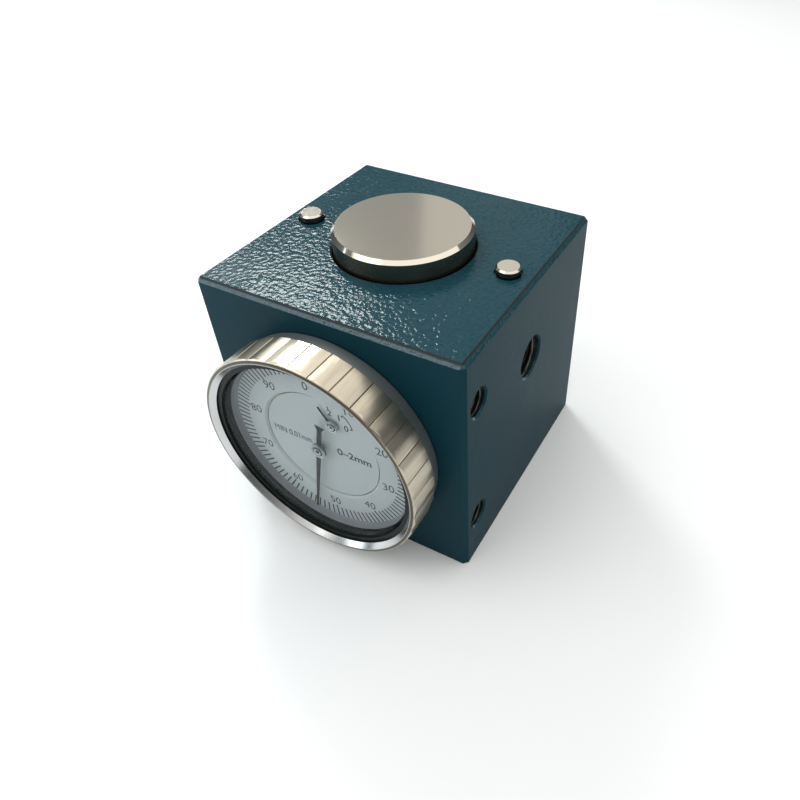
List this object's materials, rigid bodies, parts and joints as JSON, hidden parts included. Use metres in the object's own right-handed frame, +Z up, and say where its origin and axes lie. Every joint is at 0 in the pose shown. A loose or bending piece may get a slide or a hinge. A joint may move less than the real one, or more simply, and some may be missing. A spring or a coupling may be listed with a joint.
{
  "type": "dial tool setter",
  "caption": "Square block tool setter with a sprung top anvil, datum pins and a side dial that turns in a fluted bezel.",
  "frame": {"origin": "centre of the block's bottom face, on the anvil's axis", "axes": "+Z up along the anvil's axis, -Y out of the dial's face, +X towards the side with the three screws"},
  "size_m": [0.051, 0.0598, 0.0525],
  "materials": {
    "block_paint": "dark teal wrinkle paint on the top, smooth satin on the sides",
    "ground_steel": "hardened steel, ground flat face",
    "polished_steel": "hardened steel, polished",
    "bezel_metal": "satin plated, fine axial lines",
    "case_metal": "satin grey",
    "plate_brass": "straight grained",
    "gear_brass": "cut teeth, polished faces",
    "arbor_steel": "burnished",
    "bracket_steel": "milled",
    "black_screw": "black oxide",
    "small_screw": "bright",
    "spring_steel": "oiled spring wire",
    "bush_bronze": "bored and reamed bronze",
    "plug_steel": "turned",
    "dial_face": "matt light grey-blue with dark marks",
    "hand_black": "satin black",
    "gasket_rubber": "matt black",
    "crystal_glass": "clear, flat"
  },
  "bodies": {
    "setter_block": {"body_block": "block_paint", "upper_guide_bush": "bush_bronze", "lower_guide_bush": "bush_bronze", "spring_plug": "plug_steel", "return_spring": "spring_steel", "datum_pin_right": "polished_steel", "datum_pin_left": "polished_steel", "guide_screw": "black_screw", "case_set_screws": "black_screw", "dial_case": "case_metal", "movement_plate": "plate_brass", "movement_pillars": "arbor_steel", "movement_bridge": "plate_brass", "plate_screws": "small_screw", "bridge_screws": "small_screw", "inner_dial": "dial_face", "hairspring_stud": "gear_brass", "hairspring": "spring_steel"},
    "anvil_slide": {"anvil": "ground_steel", "rack": "bracket_steel", "bracket_screws": "black_screw"},
    "rack_arbor_group": {"rack_arbor": "arbor_steel", "transfer_wheel": "gear_brass", "small_hand": "hand_black"},
    "centre_group": {"centre_arbor": "arbor_steel", "main_hand": "hand_black"},
    "hairspring_group": {"hairspring_arbor": "arbor_steel", "hairspring_wheel": "gear_brass"},
    "bezel_group": {"bezel": "bezel_metal", "gasket": "gasket_rubber", "crystal": "crystal_glass", "scale_ring": "dial_face", "retaining_ring": "spring_steel"}
  },
  "joints": [
    {"name": "anvil_travel", "type": "slide", "parent": "setter_block", "child": "anvil_slide", "axis": [0, 0, 1], "range_m": [-0.003, 0], "stiffness_N_per_m": 500, "springref_m": 0.006, "deforming": ["return_spring"]},
    {"name": "small_hand_turn", "type": "hinge", "parent": "setter_block", "child": "rack_arbor_group", "pos_m": [0.0034, -0.025, 0.03118], "axis": [0, 1, 0], "range_deg": [0, 135.1]},
    {"name": "main_hand_turn", "type": "hinge", "parent": "setter_block", "child": "centre_group", "pos_m": [0, -0.025, 0.0245], "axis": [0, 1, 0], "range_deg": [-1080.5, 0]},
    {"name": "hairspring_turn", "type": "hinge", "parent": "setter_block", "child": "hairspring_group", "pos_m": [-0.0034, -0.025, 0.01782], "axis": [0, 1, 0], "range_deg": [0, 135.1], "deforming": ["hairspring"]},
    {"name": "bezel_turn", "type": "hinge", "parent": "setter_block", "child": "bezel_group", "pos_m": [0, -0.025, 0.0245], "axis": [0, 1, 0], "continuous": true}
  ],
  "couplings": [
    {"joint": "small_hand_turn", "follows": "anvil_travel", "rad_per_m": -785.4},
    {"joint": "main_hand_turn", "follows": "anvil_travel", "rad_per_m": 6283.2},
    {"joint": "hairspring_turn", "follows": "anvil_travel", "rad_per_m": -785.4}
  ]
}
